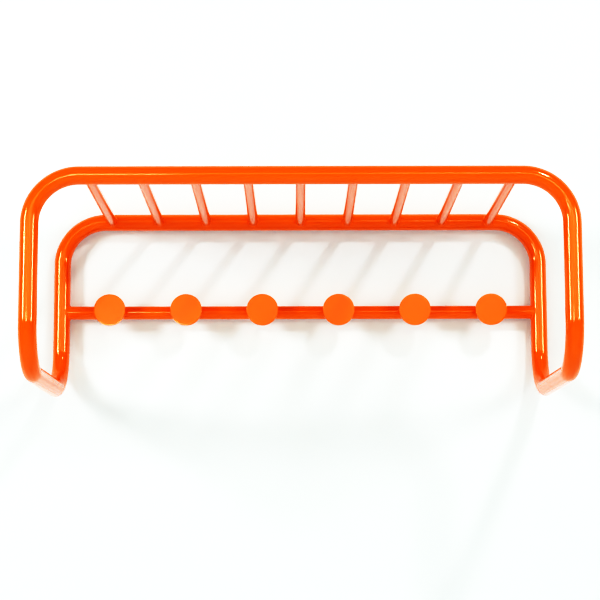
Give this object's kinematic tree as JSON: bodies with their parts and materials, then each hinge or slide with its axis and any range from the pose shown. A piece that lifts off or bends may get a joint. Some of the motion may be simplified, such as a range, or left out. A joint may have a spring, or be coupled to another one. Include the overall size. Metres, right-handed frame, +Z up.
{
  "type": "wall-mounted hat and coat rack",
  "caption": "Wall-mounted hat and coat rack of bent round tube: a rod shelf between two hoops, and a coat rail with flat round knobs.",
  "frame": {"origin": "on the wall, at mid-width and at the height of the top rails' centre lines", "axes": "+X to the viewer's right along the rails, +Y into the wall, +Z up; the rack stands on the -Y side of the wall"},
  "size_m": [0.6, 0.3028, 0.2295],
  "materials": {
    "orange_powder_coat": "gloss powder coat",
    "bare_steel": "uncoated, hidden inside the tube",
    "dark_rubber": "matte"
  },
  "bodies": {
    "root": {"front_hoop": "orange_powder_coat", "back_hoop": "orange_powder_coat", "shelf_rod_1": "orange_powder_coat", "shelf_rod_2": "orange_powder_coat", "shelf_rod_3": "orange_powder_coat", "shelf_rod_4": "orange_powder_coat", "shelf_rod_5": "orange_powder_coat", "shelf_rod_6": "orange_powder_coat", "shelf_rod_7": "orange_powder_coat", "shelf_rod_8": "orange_powder_coat", "shelf_rod_9": "orange_powder_coat", "coat_rail": "orange_powder_coat", "knob_disc_1": "orange_powder_coat", "knob_disc_2": "orange_powder_coat", "knob_disc_3": "orange_powder_coat", "knob_disc_4": "orange_powder_coat", "knob_disc_5": "orange_powder_coat", "knob_disc_6": "orange_powder_coat", "knob_pin_1": "orange_powder_coat", "knob_pin_2": "orange_powder_coat", "knob_pin_3": "orange_powder_coat", "knob_pin_4": "orange_powder_coat", "knob_pin_5": "orange_powder_coat", "knob_pin_6": "orange_powder_coat", "hanger_plate_left": "orange_powder_coat", "hanger_plate_right": "orange_powder_coat", "joint_sleeve_left": "bare_steel", "joint_sleeve_right": "bare_steel", "wall_pad_left": "dark_rubber", "wall_pad_right": "dark_rubber"}
  },
  "joints": []
}
